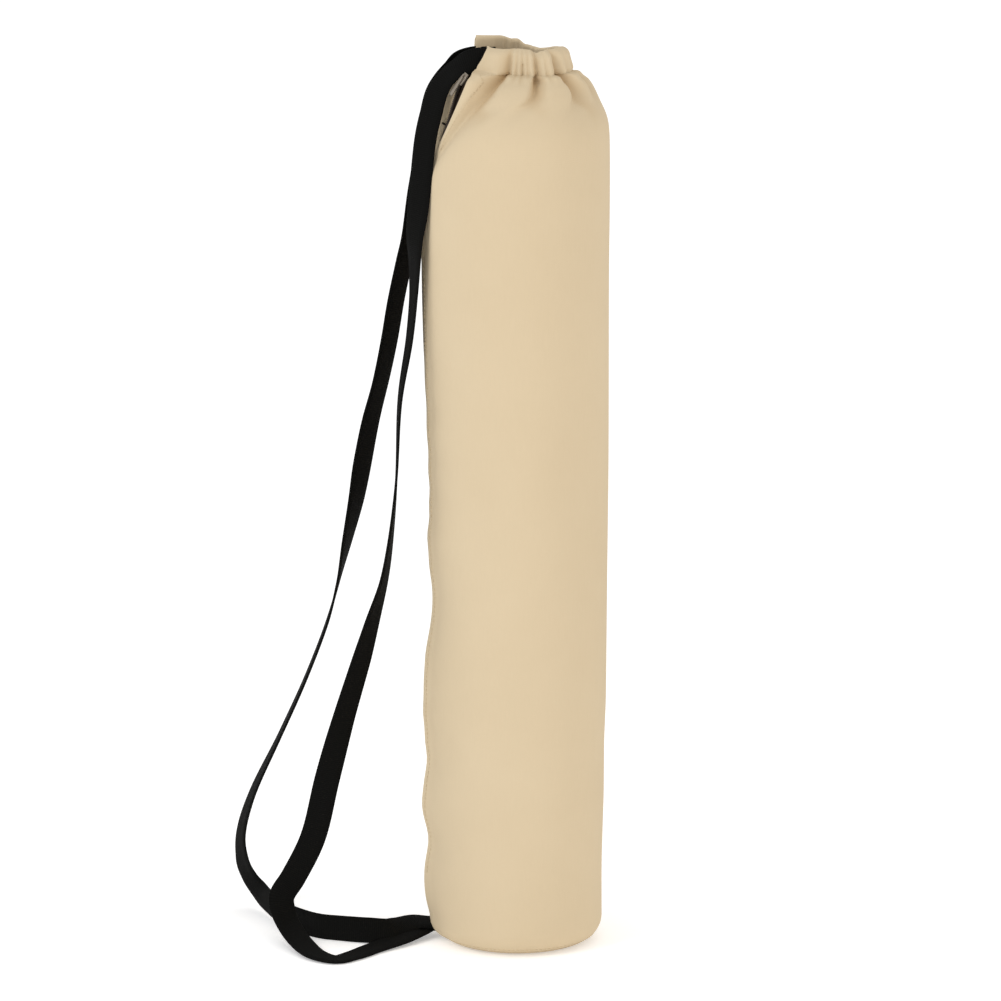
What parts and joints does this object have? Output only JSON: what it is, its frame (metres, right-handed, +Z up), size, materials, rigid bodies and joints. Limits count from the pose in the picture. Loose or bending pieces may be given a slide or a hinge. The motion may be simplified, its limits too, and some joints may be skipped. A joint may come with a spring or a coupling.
{
  "type": "yoga mat bag",
  "caption": "Tall round canvas bag for a rolled yoga mat, with a gathered top, a side zip and a webbing strap that is also the drawstring.",
  "frame": {"origin": "centre of the flat underside of the round base, on the floor", "axes": "+Z up along the bag's own axis to its gathered top, -X towards the side with the zip and the strap, -Y towards the front"},
  "size_m": [0.2952, 0.1713, 0.7126],
  "materials": {
    "canvas": "plain woven cotton canvas, matt, cream",
    "webbing": "woven cotton webbing, matt, black",
    "zip_tape": "woven zip tape, matt, dark brown",
    "zip_coil": "moulded coil teeth, dark brown",
    "slider_metal": "satin grey metal"
  },
  "bodies": {
    "root": {"main_panel": "canvas", "gathered_top": "canvas", "base_panel": "canvas", "strap": "webbing", "zip_tape": "zip_tape", "zip_coil": "zip_coil", "zip_slider": "slider_metal", "zip_pull": "slider_metal"}
  },
  "joints": []
}
